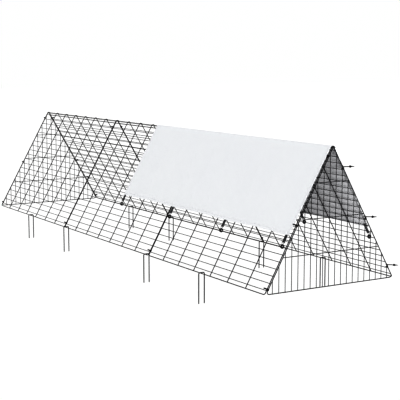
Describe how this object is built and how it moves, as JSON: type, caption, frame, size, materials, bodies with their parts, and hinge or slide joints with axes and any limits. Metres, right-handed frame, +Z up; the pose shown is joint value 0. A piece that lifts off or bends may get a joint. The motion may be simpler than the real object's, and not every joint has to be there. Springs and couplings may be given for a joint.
{
  "type": "chicken run",
  "caption": "Long triangular wire run with welded mesh slopes, a hinged mesh door at one end, a rain cover over part of the ridge and ground stakes.",
  "frame": {"origin": "middle of the run, on the plane through the stake tips", "axes": "+X along the ridge towards the door, +Z up, +Y across to the far slope"},
  "size_m": [4.5812, 1.08, 1.106],
  "materials": {
    "coated_wire": "black powder coat, satin",
    "coated_rod": "black powder coat, satin",
    "clip_nylon": "moulded, fine matte",
    "cover_sheet": "coated woven sheet, soft sheen",
    "elastic": "braided elastic",
    "hook_nylon": "moulded, smooth"
  },
  "bodies": {
    "frame": {"near_panel_back": "coated_wire", "near_panel_middle": "coated_wire", "near_panel_front": "coated_wire", "far_panel_back": "coated_wire", "far_panel_middle": "coated_wire", "far_panel_front": "coated_wire", "back_end_panel": "coated_wire", "near_clips_back": "clip_nylon", "near_clips_joint_1": "clip_nylon", "near_clips_joint_2": "clip_nylon", "far_clips_back": "clip_nylon", "far_clips_joint_1": "clip_nylon", "far_clips_joint_2": "clip_nylon", "hinge_clip_top": "clip_nylon", "hinge_clip_middle": "clip_nylon", "hinge_clip_bottom": "clip_nylon", "near_stake_1": "coated_rod", "near_stake_2": "coated_rod", "near_stake_3": "coated_rod", "near_stake_4": "coated_rod", "far_stake_1": "coated_rod", "far_stake_2": "coated_rod", "far_stake_3": "coated_rod", "far_stake_4": "coated_rod", "cover": "cover_sheet", "near_tie_1": "elastic", "near_tie_2": "elastic", "near_tie_3": "elastic", "near_tie_4": "elastic", "far_tie_1": "elastic", "far_tie_2": "elastic", "far_tie_3": "elastic", "far_tie_4": "elastic", "near_hook_1": "hook_nylon", "near_hook_2": "hook_nylon", "near_hook_3": "hook_nylon", "near_hook_4": "hook_nylon", "far_hook_1": "hook_nylon", "far_hook_2": "hook_nylon", "far_hook_3": "hook_nylon", "far_hook_4": "hook_nylon"},
    "door": {"door_panel": "coated_wire"},
    "latch_top_arm": {"latch_top": "clip_nylon"},
    "latch_middle_arm": {"latch_middle": "clip_nylon"},
    "latch_bottom_arm": {"latch_bottom": "clip_nylon"}
  },
  "joints": [
    {"name": "door_hinge", "type": "hinge", "parent": "frame", "child": "door", "pos_m": [2.25271, -0.26331, 0.64391], "axis": [0, -0.4934, -0.8698], "range_deg": [0, 110]},
    {"name": "latch_top_turn", "type": "hinge", "parent": "frame", "child": "latch_top_arm", "pos_m": [2.246, 0.08321, 0.96106], "axis": [0, 0.4979, -0.8672], "range_deg": [0, 85]},
    {"name": "latch_middle_turn", "type": "hinge", "parent": "frame", "child": "latch_middle_arm", "pos_m": [2.246, 0.2768, 0.62388], "axis": [0, 0.4979, -0.8672], "range_deg": [0, 85]},
    {"name": "latch_bottom_turn", "type": "hinge", "parent": "frame", "child": "latch_bottom_arm", "pos_m": [2.246, 0.47039, 0.2867], "axis": [0, 0.4979, -0.8672], "range_deg": [0, 85]}
  ]
}
